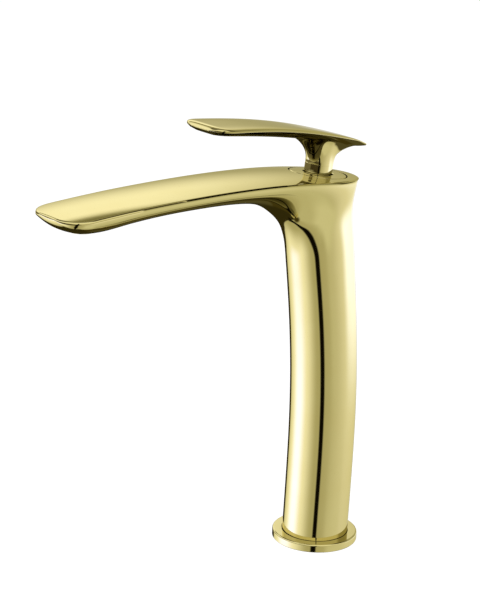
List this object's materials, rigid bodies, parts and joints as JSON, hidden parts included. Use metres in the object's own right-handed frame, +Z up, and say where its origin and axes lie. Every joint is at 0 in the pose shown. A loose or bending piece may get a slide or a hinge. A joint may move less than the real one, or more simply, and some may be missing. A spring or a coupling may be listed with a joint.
{
  "type": "bathroom mixer faucet",
  "caption": "Tall polished gold basin mixer: a round column bends into a long leaf-shaped spout, with a thin leaf lever on a short stem above.",
  "frame": {"origin": "middle of the foot on the deck plane, at the mouth of the fixing stud's threaded hole", "axes": "+Z up from the deck, the spout and the lever point to -Y, +X is on the right when looking along +Y at the spout's tip"},
  "size_m": [0.058, 0.2505, 0.3004],
  "materials": {
    "polished_gold": "mirror polished, pale greenish gold plating",
    "raw_brass": "machined",
    "black_rubber": "matte",
    "cartridge_plastic": "moulded",
    "ceramic": "lapped",
    "steel": "turned",
    "aerator_plastic": "moulded honeycomb",
    "gold_plastic": "gold coloured plug"
  },
  "bodies": {
    "body": {"body_casting": "polished_gold", "base_flange": "polished_gold", "base_gasket": "black_rubber", "base_insert": "raw_brass", "cover_plate": "polished_gold", "retaining_nut": "raw_brass", "cartridge_housing": "cartridge_plastic", "cartridge_base": "cartridge_plastic", "base_seals": "black_rubber", "fixed_disc": "ceramic", "aerator_housing": "polished_gold", "aerator_screen": "aerator_plastic", "aerator_seal": "black_rubber"},
    "rotor": {"cartridge_rotor": "cartridge_plastic", "pivot_pin": "steel", "stem_collar": "polished_gold"},
    "lever": {"lever_handle": "polished_gold", "lever_spindle": "raw_brass", "set_screw": "steel", "screw_cap": "gold_plastic"},
    "discs": {"disc_carrier": "cartridge_plastic", "moving_disc": "ceramic"}
  },
  "joints": [
    {"name": "temperature_turn", "type": "hinge", "parent": "body", "child": "rotor", "pos_m": [0, -0.0138, 0.2583], "axis": [0, 0.1392, 0.9903], "range_deg": [-45, 45]},
    {"name": "flow_lift", "type": "hinge", "parent": "rotor", "child": "lever", "pos_m": [0, -0.01464, 0.25236], "axis": [-1, 0, 0], "range_deg": [0, 20]},
    {"name": "disc_slide", "type": "slide", "parent": "rotor", "child": "discs", "axis": [0, -0.9903, 0.1392], "range_m": [0, 0.0043]}
  ],
  "couplings": [
    {"joint": "disc_slide", "follows": "flow_lift", "m_per_rad": 0.0122}
  ]
}
